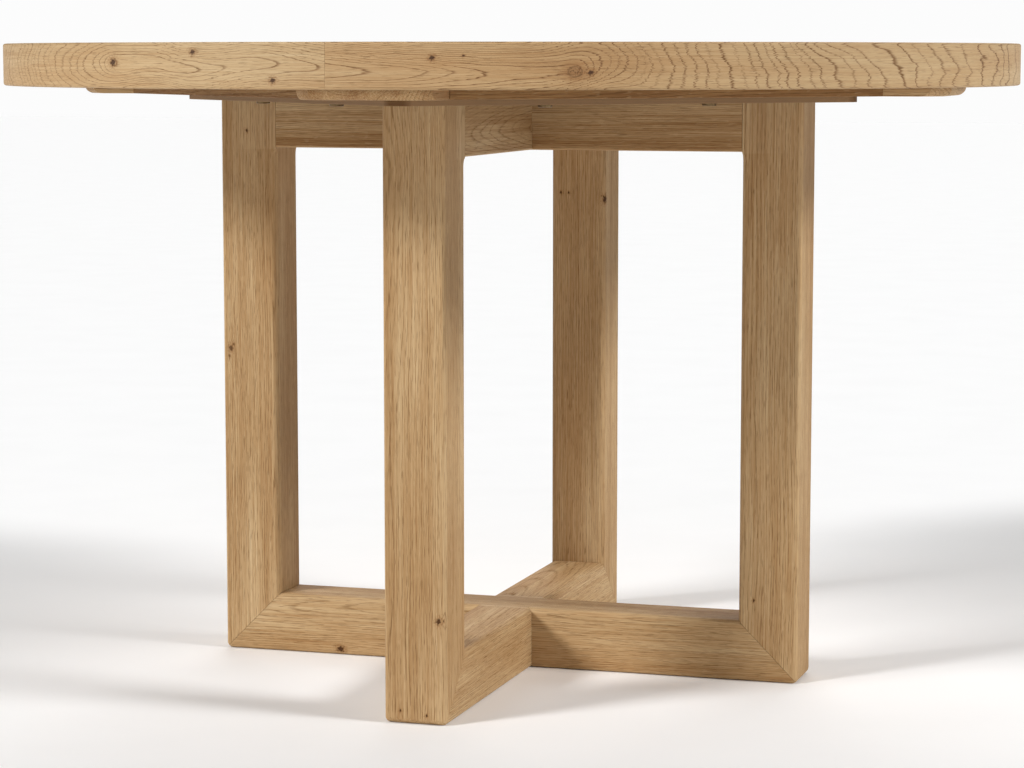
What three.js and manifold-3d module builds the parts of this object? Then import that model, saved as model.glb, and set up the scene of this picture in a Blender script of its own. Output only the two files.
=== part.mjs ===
// A round oak dining table: a thick round top on two crossed rectangular frames.
// Millimetres, +Z up, origin on the floor under the centre of the top.
// Frame A stands in the XZ plane and frame B, the same frame turned a quarter, in the YZ plane.

import * as THREE from 'three';
import { mergeVertices } from 'three/addons/utils/BufferGeometryUtils.js';
import Module from 'manifold-3d';

const wasm = await Module();
wasm.setup();

// ---- Driving dimensions ----

const GAP = 0.3; // clearance between pieces that touch
const QUARTER_TURN = Math.PI / 2;
const EIGHTH_TURN = Math.PI / 4;

const TABLE_HEIGHT = 780;
const TOP_DIAMETER = 1250;
const EDGE_HEIGHT = 50;
const TOP_BOARDS = 9;
const BOARD_THICKNESS = 26;
const BAND_THICKNESS = 6;
const BAND_PIECES = 3;
const BAND_SEAM_ANGLE = THREE.MathUtils.degToRad(-91);
const BAND_ROUNDING = 3;
const PACKER_PIECES = 8;
const PACKER_WIDTH = 50;
const ARC_STEP = THREE.MathUtils.degToRad(2.5);
const HOLE_SIDES = 10;
const FASTENER_SIDES = 12;

const BATTEN_DROP = 12; // how far the battens show below the edge
const BATTEN_WIDTH = 155;
const BATTEN_REACH = 558; // from the centre to a batten's end, and to the diagonal square's corner
const BATTEN_NIP = 21; // corner cut off each batten end
const BATTEN_ROUNDING = 11;
const CORNER_BATTEN_WIDTH = 130;

const MOUNT_BOARD_THICKNESS = 8;
const MOUNT_BOARD_REACH = 445; // from the centre to a corner, which points along a frame
const MOUNT_BOARD_CORNER = 25;

const FRAME_WIDTH = 755;
const SECTION = 75; // legs and foot rails are square in section
const TOP_RAIL_HEIGHT = 60;
const OUTER_ARRIS = 5; // rounding of the long edges on the outside of a frame
const OPENING_ARRIS = 8; // rounding of the long edges round a frame's opening
const TOP_RAIL_ARRIS = 3;

const RAIL_TENON = { length: 38, width: 25, height: 36 };
const MITRE_TENON = { length: 50, width: 40, thickness: 10 };

const BOLT = { shank: 7.4, length: 26, head: 17, headHeight: 3, socket: 5.8, socketDepth: 2 };
const BOLT_HOLE = 9;
const BOLTS_PER_SIDE = 2;
const BOLT_SPREAD = 220;
const BOLT_EDGE_DISTANCE = 25;
const INSERT = { outer: 13, bore: 8, length: 20 };
const SCREW = { shank: 6, length: 60, head: 12, headHeight: 3 };
const SCREW_OFFSET = 12; // outward from the leg's centre, clear of the rail's tenon

// ---- Derived levels and radii ----

const edgeBottom = TABLE_HEIGHT - EDGE_HEIGHT;
const boardBottom = TABLE_HEIGHT - BOARD_THICKNESS;
const battenBottom = edgeBottom - BATTEN_DROP;
const battenHeight = boardBottom - GAP - battenBottom;
const mountBoardBottom = battenBottom - MOUNT_BOARD_THICKNESS;
const legHeight = mountBoardBottom - GAP;
const topRailBottom = mountBoardBottom - TOP_RAIL_HEIGHT;
const topRailHeight = legHeight - topRailBottom;

const bandInner = TOP_DIAMETER / 2 - BAND_THICKNESS;
const boardRadius = bandInner - GAP;
const legCentre = (FRAME_WIDTH - SECTION) / 2;
const legInner = legCentre - SECTION / 2;
const cornerBattenOuter = BATTEN_REACH / Math.SQRT2;
const boltDistance = MOUNT_BOARD_REACH / Math.SQRT2 - BOLT_EDGE_DISTANCE;

// ---- Materials ----

const wood = (color, roughness = 0.6) => new THREE.MeshStandardMaterial({ color, roughness, metalness: 0 });
const metal = (color, roughness) => new THREE.MeshStandardMaterial({ color, roughness, metalness: 1 });

const oakTop = wood(0xc9a679, 0.5);
const oakBand = wood(0xc6a57d, 0.5);
const oakFrame = wood(0xbd9669);
const oakBatten = wood(0xb58f63, 0.7);
const packerWood = wood(0xb89468, 0.7);
const mountBoardWood = wood(0xa5835b, 0.7);
const beech = wood(0xd2ab7c, 0.7);
const zincSteel = metal(0xb9bcbd, 0.35);
const brass = metal(0xb8974f, 0.4);

// ---- Solids ----

/** The solid of a closed geometry, without the flat triangles that a lathe leaves on its axis. */
function toSolid(geometry) {
  const bare = geometry.clone();
  bare.deleteAttribute('normal');
  bare.deleteAttribute('uv');
  const merged = mergeVertices(bare, 1e-3);
  const corners = [];
  for (let i = 0; i < merged.index.count; i += 3) {
    const [a, b, c] = [0, 1, 2].map((k) => merged.index.getX(i + k));
    if (a !== b && b !== c && c !== a) corners.push(a, b, c);
  }
  const vertProperties = Float32Array.from(merged.attributes.position.array);
  const triVerts = Uint32Array.from(corners);
  return new wasm.Manifold(new wasm.Mesh({ numProp: 3, vertProperties, triVerts }));
}

function toGeometry(solid) {
  const { vertProperties, triVerts } = solid.getMesh();
  const geometry = new THREE.BufferGeometry();
  geometry.setAttribute('position', new THREE.BufferAttribute(vertProperties, 3));
  geometry.setIndex(new THREE.BufferAttribute(triVerts, 1));
  return geometry;
}

const cut = (geometry, cutters) =>
  toGeometry(cutters.reduce((solid, cutter) => solid.subtract(toSolid(cutter)), toSolid(geometry)));

const join = (geometry, additions) =>
  toGeometry(additions.reduce((solid, addition) => solid.add(toSolid(addition)), toSolid(geometry)));

const common = (geometry, others) =>
  toGeometry(others.reduce((solid, other) => solid.intersect(toSolid(other)), toSolid(geometry)));

/** A box from its lowest to its highest corner. */
function box(low, high) {
  const size = high.map((value, axis) => value - low[axis]);
  const middle = high.map((value, axis) => (value + low[axis]) / 2);
  return new THREE.BoxGeometry(...size).translate(...middle);
}

/** An upright extrusion of a shape drawn in plan. */
function upright(shape, bottom, height, curveSegments = 3) {
  const options = { depth: height, bevelEnabled: false, curveSegments };
  return new THREE.ExtrudeGeometry(shape, options).translate(0, 0, bottom);
}

const acrossToX = new THREE.Matrix4().makeBasis(
  new THREE.Vector3(0, 1, 0),
  new THREE.Vector3(0, 0, 1),
  new THREE.Vector3(1, 0, 0),
);

/** An extrusion along X, centred on the origin, of a shape drawn in Y and Z. */
function lengthwise(shape, length) {
  return upright(shape, -length / 2, length).applyMatrix4(acrossToX);
}

/** A turned piece about Z, from [radius, height] points that start and end on the axis. */
function turned(points, segments) {
  const profile = points.map(([radius, height]) => new THREE.Vector2(radius, height));
  return new THREE.LatheGeometry(profile, segments).rotateX(QUARTER_TURN);
}

/** A vertical round hole's cutter, whose flats lie on the stated diameter. */
function roundCutter(diameter, bottom, top, x, y) {
  const height = top - bottom;
  const radius = diameter / 2 / Math.cos(Math.PI / HOLE_SIDES);
  return new THREE.CylinderGeometry(radius, radius, height, HOLE_SIDES)
    .rotateX(QUARTER_TURN)
    .translate(x, y, (bottom + top) / 2);
}

/** A rectangle with rounded corners, centred across and standing on v = bottom. */
function roundedRectangle(width, height, bottom, lowerRadius, upperRadius = lowerRadius) {
  const [left, right, top] = [-width / 2, width / 2, bottom + height];
  const [lower, upper] = [lowerRadius, upperRadius];
  const shape = new THREE.Shape();
  shape.moveTo(left + lower, bottom);
  shape.lineTo(right - lower, bottom);
  shape.absarc(right - lower, bottom + lower, lower, -QUARTER_TURN, 0);
  shape.lineTo(right, top - upper);
  shape.absarc(right - upper, top - upper, upper, 0, QUARTER_TURN);
  shape.lineTo(left + upper, top);
  shape.absarc(left + upper, top - upper, upper, QUARTER_TURN, 2 * QUARTER_TURN);
  shape.lineTo(left, bottom + lower);
  shape.absarc(left + lower, bottom + lower, lower, 2 * QUARTER_TURN, 3 * QUARTER_TURN);
  shape.closePath();
  return shape;
}

/** Points on an arc about the origin, both ends included, no further apart than ARC_STEP. */
function arcPoints(radius, from, to) {
  const steps = Math.max(1, Math.ceil(Math.abs(to - from) / ARC_STEP));
  return Array.from({ length: steps + 1 }, (_, i) => {
    const angle = from + ((to - from) * i) / steps;
    return new THREE.Vector2(radius * Math.cos(angle), radius * Math.sin(angle));
  });
}

function addPiece(group, name, geometry, material) {
  const mesh = new THREE.Mesh(geometry, material);
  mesh.name = name;
  group.add(mesh);
  return mesh;
}

// ---- The top: boards, packing ring and edge band ----

/** One edge-glued board running along X, its ends on the top's circle. */
function topBoard(index) {
  const width = (2 * boardRadius - (TOP_BOARDS - 1) * GAP) / TOP_BOARDS;
  const near = -boardRadius + index * (width + GAP);
  const angleAt = (y) => Math.asin(THREE.MathUtils.clamp(y / boardRadius, -1, 1));
  const [from, to] = [angleAt(near), angleAt(near + width)];
  const outline = [
    ...arcPoints(boardRadius, from, to),
    ...arcPoints(boardRadius, Math.PI - to, Math.PI - from),
  ];
  return upright(new THREE.Shape(outline), boardBottom, BOARD_THICKNESS);
}

/** One block of the ring that thickens the top's edge, between two angles. */
function edgePacker(from, to) {
  const gapAngle = GAP / 2 / boardRadius;
  const outline = [
    ...arcPoints(boardRadius, from + gapAngle, to - gapAngle),
    ...arcPoints(boardRadius - PACKER_WIDTH, to - gapAngle, from + gapAngle),
  ];
  return upright(new THREE.Shape(outline), edgeBottom, boardBottom - GAP - edgeBottom);
}

/** The band's section in radius and height, with its two outer corners rounded. */
function bandSection() {
  const outer = TOP_DIAMETER / 2;
  const rounding = (centreHeight, startAngle) =>
    [0, 0.5, 1].map((share) => {
      const angle = startAngle + share * QUARTER_TURN;
      const radius = outer - BAND_ROUNDING + BAND_ROUNDING * Math.cos(angle);
      return [radius, centreHeight + BAND_ROUNDING * Math.sin(angle)];
    });
  return [
    [bandInner, edgeBottom],
    ...rounding(edgeBottom + BAND_ROUNDING, -QUARTER_TURN),
    ...rounding(TABLE_HEIGHT - BAND_ROUNDING, 0),
    [bandInner, TABLE_HEIGHT],
  ];
}

/** One length of the edge band, bent round the top between two angles. */
function edgeBand(from, to) {
  const section = bandSection();
  const count = section.length;
  const steps = Math.ceil((to - from) / ARC_STEP);
  const positions = [];
  for (let step = 0; step <= steps; step += 1) {
    const angle = from + ((to - from) * step) / steps;
    for (const [radius, height] of section) {
      positions.push(radius * Math.cos(angle), radius * Math.sin(angle), height);
    }
  }
  const index = [];
  for (let step = 0; step < steps; step += 1) {
    for (let k = 0; k < count; k += 1) {
      const [a, b] = [step * count + k, step * count + ((k + 1) % count)];
      index.push(a, b + count, b, a, a + count, b + count);
    }
  }
  const last = steps * count;
  for (let k = 1; k < count - 1; k += 1) {
    index.push(0, k, k + 1, last, last + k + 1, last + k);
  }
  const geometry = new THREE.BufferGeometry();
  geometry.setAttribute('position', new THREE.Float32BufferAttribute(positions, 3));
  geometry.setIndex(index);
  return geometry;
}

function tableTop() {
  const group = new THREE.Group();
  for (let i = 0; i < TOP_BOARDS; i += 1) {
    addPiece(group, `top_board_${i + 1}`, topBoard(i), oakTop);
  }
  for (let i = 0; i < PACKER_PIECES; i += 1) {
    const span = (2 * Math.PI) / PACKER_PIECES;
    addPiece(group, `edge_packer_${i + 1}`, edgePacker(i * span, (i + 1) * span), packerWood);
  }
  for (let i = 0; i < BAND_PIECES; i += 1) {
    const span = (2 * Math.PI) / BAND_PIECES;
    const gapAngle = GAP / 2 / bandInner;
    const from = BAND_SEAM_ANGLE + i * span + gapAngle;
    addPiece(group, `edge_band_${i + 1}`, edgeBand(from, from + span - 2 * gapAngle), oakBand);
  }
  return group;
}

// ---- The battens under the top ----

/** A wide bar along X whose two lower end edges are rounded. */
function roundedEnds(halfLength) {
  const top = battenBottom + battenHeight;
  const centreHeight = battenBottom + BATTEN_ROUNDING;
  const shape = new THREE.Shape();
  shape.moveTo(-halfLength + BATTEN_ROUNDING, battenBottom);
  shape.lineTo(halfLength - BATTEN_ROUNDING, battenBottom);
  shape.absarc(halfLength - BATTEN_ROUNDING, centreHeight, BATTEN_ROUNDING, -QUARTER_TURN, 0);
  shape.lineTo(halfLength, top);
  shape.lineTo(-halfLength, top);
  shape.lineTo(-halfLength, centreHeight);
  shape.absarc(-halfLength + BATTEN_ROUNDING, centreHeight, BATTEN_ROUNDING, Math.PI, 3 * QUARTER_TURN);
  return lengthwise(shape, 2 * BATTEN_REACH).rotateZ(QUARTER_TURN);
}

/** A batten along X with nipped, rounded ends, halved at the centre from above or from below. */
function crossBatten(halvedFromAbove) {
  const halfWidth = BATTEN_WIDTH / 2;
  const nipReach = (BATTEN_REACH + halfWidth - BATTEN_NIP) / Math.SQRT2;
  const bar = box(
    [-BATTEN_REACH, -halfWidth, battenBottom],
    [BATTEN_REACH, halfWidth, battenBottom + battenHeight],
  );
  const whole = common(bar, [
    roundedEnds(BATTEN_REACH),
    roundedEnds(nipReach).rotateZ(EIGHTH_TURN),
    roundedEnds(nipReach).rotateZ(-EIGHTH_TURN),
  ]);
  const middle = battenBottom + battenHeight / 2;
  const reach = halfWidth + GAP;
  const notch = halvedFromAbove
    ? box([-reach, -reach, middle - GAP / 2], [reach, reach, TABLE_HEIGHT])
    : box([-reach, -reach, mountBoardBottom], [reach, reach, middle + GAP / 2]);
  return cut(whole, [notch]);
}

/** Bolt positions on the +X side of the mounting board's square. */
function boltPositions() {
  return Array.from({ length: BOLTS_PER_SIDE }, (_, i) => {
    const across = (i / (BOLTS_PER_SIDE - 1) - 0.5) * BOLT_SPREAD;
    return [boltDistance, across];
  });
}

/** A diagonal batten on the +X side of the square, mitred to the cross battens' flanks. */
function cornerBatten() {
  const outer = cornerBattenOuter;
  const inner = outer - CORNER_BATTEN_WIDTH;
  const flank = (BATTEN_WIDTH / 2 + GAP) * Math.SQRT2;
  const outline = [
    [inner, -(inner - flank)],
    [outer, -(outer - flank)],
    [outer, outer - flank],
    [inner, inner - flank],
  ].map(([x, y]) => new THREE.Vector2(x, y));
  const holes = boltPositions().map(([x, y]) =>
    roundCutter(INSERT.outer + 2 * GAP, battenBottom - 1, battenBottom + INSERT.length + GAP, x, y),
  );
  return cut(upright(new THREE.Shape(outline), battenBottom, battenHeight), holes);
}

/** A threaded insert in a corner batten, drawn about its own axis. */
function threadInsert() {
  const shape = new THREE.Shape();
  shape.absarc(0, 0, INSERT.outer / 2, 0, 2 * Math.PI);
  shape.holes.push(new THREE.Path().absarc(0, 0, INSERT.bore / 2, 0, 2 * Math.PI, true));
  return upright(shape, battenBottom + GAP, INSERT.length - GAP, HOLE_SIDES);
}

/** A socket-head bolt up through the mounting board, drawn about its own axis. */
function boardBolt() {
  const top = mountBoardBottom - GAP;
  const bottom = top - BOLT.headHeight;
  const body = turned(
    [
      [0, bottom],
      [BOLT.head / 2 - 1, bottom],
      [BOLT.head / 2, bottom + 1],
      [BOLT.head / 2, top],
      [BOLT.shank / 2, top],
      [BOLT.shank / 2, top + BOLT.length - 1],
      [BOLT.shank / 2 - 1, top + BOLT.length],
      [0, top + BOLT.length],
    ],
    FASTENER_SIDES,
  );
  const socket = new THREE.CylinderGeometry(BOLT.socket / 2, BOLT.socket / 2, 2 * BOLT.socketDepth, 6)
    .rotateX(QUARTER_TURN)
    .translate(0, 0, bottom);
  return cut(body, [socket]);
}

function battens() {
  const group = new THREE.Group();
  addPiece(group, 'cross_batten_a', crossBatten(true), oakBatten);
  addPiece(group, 'cross_batten_b', crossBatten(false), oakBatten).rotation.z = QUARTER_TURN;
  for (let side = 0; side < 4; side += 1) {
    const corner = new THREE.Group();
    corner.rotation.z = EIGHTH_TURN + side * QUARTER_TURN;
    addPiece(corner, `corner_batten_${side + 1}`, cornerBatten(), oakBatten);
    boltPositions().forEach(([x, y], i) => {
      const number = side * BOLTS_PER_SIDE + i + 1;
      addPiece(corner, `thread_insert_${number}`, threadInsert(), brass).position.set(x, y, 0);
      addPiece(corner, `board_bolt_${number}`, boardBolt(), zincSteel).position.set(x, y, 0);
    });
    group.add(corner);
  }
  return group;
}

// ---- The mounting board and the screws that hold it to the legs ----

/** Radius and height along a countersunk wood screw, head up, with the given clearance all round. */
function screwProfile(clearance) {
  const top = mountBoardBottom + MOUNT_BOARD_THICKNESS - GAP;
  const shank = SCREW.shank / 2 + clearance;
  const head = SCREW.head / 2 + clearance;
  const tip = top - SCREW.length - clearance;
  return [
    [0, tip],
    [shank, tip + SCREW.shank],
    [shank, top - SCREW.headHeight],
    [head, top],
    [head, top + clearance],
    [0, top + clearance],
  ];
}

function legScrew() {
  const [tip, shankEnd, neck, head, , crown] = screwProfile(0);
  return turned([tip, shankEnd, neck, head, crown], FASTENER_SIDES);
}

function mountingBoard() {
  const side = MOUNT_BOARD_REACH * Math.SQRT2;
  const bottom = mountBoardBottom;
  const plan = roundedRectangle(side, side, -side / 2, MOUNT_BOARD_CORNER);
  const blank = upright(plan, bottom, MOUNT_BOARD_THICKNESS - GAP, 6);
  const holes = [];
  for (let turn = 0; turn < 4; turn += 1) {
    for (const [x, y] of boltPositions()) {
      holes.push(roundCutter(BOLT_HOLE, bottom - 1, battenBottom + 1, x, y).rotateZ(turn * QUARTER_TURN));
    }
    const screwHole = turned(screwProfile(GAP), FASTENER_SIDES).translate(legCentre + SCREW_OFFSET, 0, 0);
    holes.push(screwHole.rotateZ(turn * QUARTER_TURN - EIGHTH_TURN));
  }
  return cut(blank, holes).rotateZ(EIGHTH_TURN);
}

// ---- The frames ----

/** Everything on the given side of the mitre plane at the foot of the +X leg. */
function mitreCutter(above) {
  const size = 3 * SECTION;
  const offset = (above ? 1 : -1) * size / 2;
  const clearance = (above ? -1 : 1) * (GAP / 2) * Math.SQRT1_2;
  return new THREE.BoxGeometry(size, size, size)
    .translate(0, 0, offset)
    .rotateY(EIGHTH_TURN)
    .translate(legCentre + clearance, 0, SECTION / 2 + clearance);
}

/** The loose tenon across a foot's mitre, with the given clearance all round. */
function mitreTenon(clearance) {
  const size = [MITRE_TENON.length, MITRE_TENON.width, MITRE_TENON.thickness].map((s) => s + 2 * clearance);
  return new THREE.BoxGeometry(...size).rotateY(-EIGHTH_TURN).translate(legCentre, 0, SECTION / 2);
}

/** The tenon on a top rail's +X end, with the given clearance all round. */
function railTenon(clearance) {
  const middle = topRailBottom + TOP_RAIL_HEIGHT / 2;
  const [halfWidth, halfHeight] = [RAIL_TENON.width / 2 + clearance, RAIL_TENON.height / 2 + clearance];
  return box(
    [legInner - SECTION / 4, -halfWidth, middle - halfHeight],
    [legInner + RAIL_TENON.length + clearance, halfWidth, middle + halfHeight],
  );
}

/** The leg at the +X end, with its more rounded edges facing the frame's opening. */
function leg() {
  const section = roundedRectangle(SECTION, SECTION, -SECTION / 2, OPENING_ARRIS, OUTER_ARRIS);
  const post = upright(section, 0, legHeight).rotateZ(-QUARTER_TURN);
  const screwHole = turned(screwProfile(GAP), FASTENER_SIDES).translate(legCentre + SCREW_OFFSET, 0, 0);
  return cut(post.translate(legCentre, 0, 0), [
    mitreCutter(false),
    mitreTenon(GAP),
    railTenon(GAP),
    screwHole,
  ]);
}

/** The half-lap notch where two rails of one height cross at the centre. */
function lapNotch(bottom, height, fromAbove) {
  const reach = SECTION / 2 + GAP;
  const middle = bottom + height / 2;
  const margin = SECTION;
  return fromAbove
    ? box([-reach, -margin, middle - GAP / 2], [reach, margin, bottom + height + margin])
    : box([-reach, -margin, bottom - margin], [reach, margin, middle + GAP / 2]);
}

/** The foot rail along X, mitred to both legs. */
function footRail(halvedFromAbove) {
  const section = roundedRectangle(SECTION, SECTION, 0, OUTER_ARRIS, OPENING_ARRIS);
  const blank = lengthwise(section, FRAME_WIDTH);
  const endCutters = [0, Math.PI].flatMap((turn) =>
    [mitreCutter(true), mitreTenon(GAP)].map((cutter) => cutter.rotateZ(turn)),
  );
  return cut(blank, [...endCutters, lapNotch(0, SECTION, halvedFromAbove)]);
}

/** The top rail along X, tenoned into both legs. */
function topRail(halvedFromAbove) {
  const section = roundedRectangle(SECTION, topRailHeight, topRailBottom, TOP_RAIL_ARRIS);
  const blank = lengthwise(section, 2 * (legInner - GAP));
  const tenoned = join(blank, [railTenon(0), railTenon(0).rotateZ(Math.PI)]);
  return cut(tenoned, [lapNotch(topRailBottom, topRailHeight, halvedFromAbove)]);
}

/** One rectangular frame in the XZ plane: foot rail, top rail and a leg at each end. */
function frame(name, legNames, halvedFromAbove) {
  const group = new THREE.Group();
  addPiece(group, `foot_rail_${name}`, footRail(halvedFromAbove), oakFrame);
  addPiece(group, `top_rail_${name}`, topRail(halvedFromAbove), oakFrame);
  legNames.forEach((legName, end) => {
    const turn = end * Math.PI;
    addPiece(group, `leg_${legName}`, leg(), oakFrame).rotation.z = turn;
    addPiece(group, `mitre_tenon_${legName}`, mitreTenon(0), beech).rotation.z = turn;
    const screw = addPiece(group, `leg_screw_${legName}`, legScrew(), zincSteel);
    screw.position.x = (legCentre + SCREW_OFFSET) * Math.cos(turn);
  });
  return group;
}

const table = new THREE.Group();
table.add(tableTop());
table.add(battens());
addPiece(table, 'mounting_board', mountingBoard(), mountBoardWood);
table.add(frame('a', ['right', 'left'], false));
const frameB = frame('b', ['back', 'front'], true);
frameB.rotation.z = QUARTER_TURN;
table.add(frameB);

export default table;
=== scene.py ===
"""A round oak dining table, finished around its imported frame. Metres, +Z up, the floor at z = 0.

Every node is built again as a finished mesh: rounded and stopped arrises, mitres, half-laps whose roundings
meet in a valley, eased edges and fine joint lines. Each wooden mesh stores where its points lie in its own
log, so one procedural oak runs through every piece with the grain along it. Frame A stands in the XZ plane
and frame B in the YZ plane, as in the CAD.
"""
import math
import random

import bmesh
import bpy
import numpy as np
from mathutils import Matrix, Vector


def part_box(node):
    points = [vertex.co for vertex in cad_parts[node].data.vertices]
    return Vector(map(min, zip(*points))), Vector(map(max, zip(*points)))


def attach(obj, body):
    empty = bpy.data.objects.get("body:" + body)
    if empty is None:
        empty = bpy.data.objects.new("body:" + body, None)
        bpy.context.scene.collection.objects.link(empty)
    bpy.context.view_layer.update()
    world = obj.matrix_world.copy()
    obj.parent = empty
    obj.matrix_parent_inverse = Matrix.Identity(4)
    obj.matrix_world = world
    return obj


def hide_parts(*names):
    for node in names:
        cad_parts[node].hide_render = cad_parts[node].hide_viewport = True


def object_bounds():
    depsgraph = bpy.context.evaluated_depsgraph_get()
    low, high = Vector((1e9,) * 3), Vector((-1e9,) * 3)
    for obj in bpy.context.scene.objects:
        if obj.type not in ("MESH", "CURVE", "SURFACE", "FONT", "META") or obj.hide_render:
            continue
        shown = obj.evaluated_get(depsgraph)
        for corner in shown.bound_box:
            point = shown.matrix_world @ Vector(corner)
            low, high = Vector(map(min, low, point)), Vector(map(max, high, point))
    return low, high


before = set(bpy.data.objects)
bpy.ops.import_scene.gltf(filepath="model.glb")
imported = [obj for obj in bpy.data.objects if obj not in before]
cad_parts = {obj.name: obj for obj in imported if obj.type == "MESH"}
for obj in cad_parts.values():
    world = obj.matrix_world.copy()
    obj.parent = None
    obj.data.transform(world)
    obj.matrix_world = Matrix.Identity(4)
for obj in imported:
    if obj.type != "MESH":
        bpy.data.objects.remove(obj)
cad_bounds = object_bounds()

# ---- Places, from the frame ----

boxes = {node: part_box(node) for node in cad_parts}
QUARTER = math.pi / 2

GAP = 0.0003  # clearance between pieces that touch
rim_radius = cad_bounds[1].x
table_height = cad_bounds[1].z
edge_bottom = boxes["edge_band_1"][0].z
board_bottom = boxes["top_board_5"][0].z
board_radius = boxes["top_board_9"][1].y
band_inner = board_radius + GAP
batten_low, batten_high = boxes["cross_batten_a"]
mount_low, mount_high = boxes["mounting_board"]
leg_low, leg_high = boxes["leg_right"]
top_rail_low, top_rail_high = boxes["top_rail_a"]
section = leg_high.x - leg_low.x
leg_centre = (leg_low.x + leg_high.x) / 2
frame_reach = leg_high.x

# ---- Sizes of the finish ----

OUTER_ARRIS = 0.005
FOOT_CORNER = 0.007
OPENING_ARRIS = 0.008
RAIL_ARRIS = 0.003
SHARP_ARRIS = 0.0008
ARRIS_STEPS = 7
ARRIS_TURNS = [step / ARRIS_STEPS * QUARTER for step in range(ARRIS_STEPS + 1)]
STOP_LENGTH = 0.011  # run-out of the opening's rounding below a top rail
STOP_DROP = 0.001
STOP_STEPS = 6
SMOOTH_ANGLE = math.radians(40)
WELD_DISTANCE = 1e-5
LEAN_STEP = 0.002
LOG_SPACING = 3.0  # between pieces in the wood, so that no two look alike
MARGIN = 0.2  # how far cutters stand out
HOLE_MARGIN = 0.001

EASE = 0.0004  # rounding of machined edges
BAND_EASE = 0.00012
BOARD_EASE = 0.00025
PACKER_EASE = 0.0005
BATTEN_EASE = 0.0008
MOUNT_EASE = 0.0009
TENON_EASE = 0.001
METAL_EASE = 0.0001

BAND_PIECES = 3
BAND_SEAM = math.radians(-91)
BAND_ROUNDING = 0.003
BUTT_GAP = 0.00014  # between the ends of the band's pieces
ARC_STEP = math.radians(0.5)
TOP_BOARDS = 9
PACKER_PIECES = 8
PACKER_WIDTH = 0.050

BATTEN_NIP = 0.021
BATTEN_ROUNDING = 0.011
CORNER_BATTEN_WIDTH = 0.130
MOUNT_REACH = 0.445
MOUNT_CORNER = 0.025
RAIL_TENON = (0.038, 0.025, 0.036)  # length, width, height
MITRE_TENON = (0.050, 0.040, 0.010)  # across the mitre, along it, thickness

# Batten screws: their places along and across a cross batten's arm, and on a corner batten
ARM_SCREWS = [(0.470, -0.045), (0.470, 0.045), (0.250, 0.0)]
CORNER_SCREW_INSET, CORNER_SCREW_SPREAD = 0.035, 0.40
BATTEN_SCREW_HEAD = 0.009
BATTEN_SCREW_BORE = 0.0105
BATTEN_SCREW_DEPTH = 0.007
BATTEN_SCREW_CROWN = [(0.35, 0.0026), (0.75, 0.0020), (0.97, 0.0010), (1.0, 0.0)]  # share of the head, rise
BATTEN_SCREW_SLOT = (0.0048, 0.0010)  # length, width
BATTEN_SLOT_FLOOR = 0.0012

# Bolts from the mounting board into inserts in the corner battens
BOLT_SPREAD = 0.220
BOLT_EDGE_DISTANCE = 0.025
BOLT_HOLE = 0.009
BOLT_HEAD, BOLT_HEAD_HEIGHT = 0.017, 0.003
BOLT_CROWN = [(0.0017, 0.0), (0.0008, 0.0002), (0.0002, 0.0007), (0.0, 0.0014)]  # draw-in, height
BOLT_SOCKET, BOLT_SOCKET_DEPTH = 0.0068, 0.002
BOLT_LENGTH, BOLT_TIP = 0.0258, 0.0030
BOLT_SMOOTH = 0.006
BOLT_THREADS = 16
BOLT_PITCH = 0.0012
SHANK_RADIUS, THREAD_ROOT = 0.0037, 0.0032
INSERT_LENGTH = 0.020
INSERT_NOSE, INSERT_RIM = 0.0055, 0.0060
INSERT_CHAMFER, INSERT_END = 0.0008, 0.001
INSERT_RIBS = 6
RIB_RADIUS, RIB_ROOT = 0.0064, 0.0057
RIB = [(RIB_RADIUS, 0.35), (RIB_ROOT, 0.5), (RIB_ROOT, 0.8), (RIB_RADIUS, 0.95)]  # radius, share of pitch
INSERT_BORE = 0.008
INSERT_HOLE, INSERT_HOLE_DEPTH = 0.0136, 0.0203

# Countersunk screws from the mounting board into the legs
LEG_SCREW_LENGTH = 0.060
LEG_SCREW_OFFSET = 0.012
LEG_SCREW_HEAD = 0.012
LEG_SCREW_SHANK = 0.006
LEG_SCREW_SINK = 0.003
LEG_SCREW_POINT = 0.0004
LEG_SCREW_TAPER = 0.006
LEG_SCREW_ROOT = 0.72  # share of the thread's radius
LEG_SCREW_THREADS = 14
LEG_SCREW_PITCH = 0.0028
LEG_SCREW_SLOT = (0.0064, 0.0012)  # length, width
LEG_SLOT_DEPTH = 0.002

batten_reach = batten_high.x
batten_half = batten_high.y
corner_outer = batten_reach / math.sqrt(2)
bolt_distance = MOUNT_REACH / math.sqrt(2) - BOLT_EDGE_DISTANCE
bolt_places = [(bolt_distance, -BOLT_SPREAD / 2), (bolt_distance, BOLT_SPREAD / 2)]
ALONG_X = ((1, 0, 0), (0, 1, 0))  # a log's axis along the grain and the one across it


# ---- Mesh helpers ----

def rounded_outline(width, height, radii):
    """Points round a rectangle about the origin, anticlockwise from its lower left, one radius a corner."""
    points = []
    for index, (side, level) in enumerate(((-1, -1), (1, -1), (1, 1), (-1, 1))):
        radius = radii[index]
        centre_x = side * (width / 2 - radius)
        centre_y = level * (height / 2 - radius)
        for turn in ARRIS_TURNS:
            angle = math.pi + index * QUARTER + turn
            points.append((centre_x + radius * math.cos(angle), centre_y + radius * math.sin(angle)))
    return points


def arc(radius, start, end, step=ARC_STEP):
    """Points on an arc about Z, both ends included."""
    count = max(1, math.ceil(abs(end - start) / step))
    angles = (start + (end - start) * i / count for i in range(count + 1))
    return [(radius * math.cos(a), radius * math.sin(a)) for a in angles]


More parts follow.
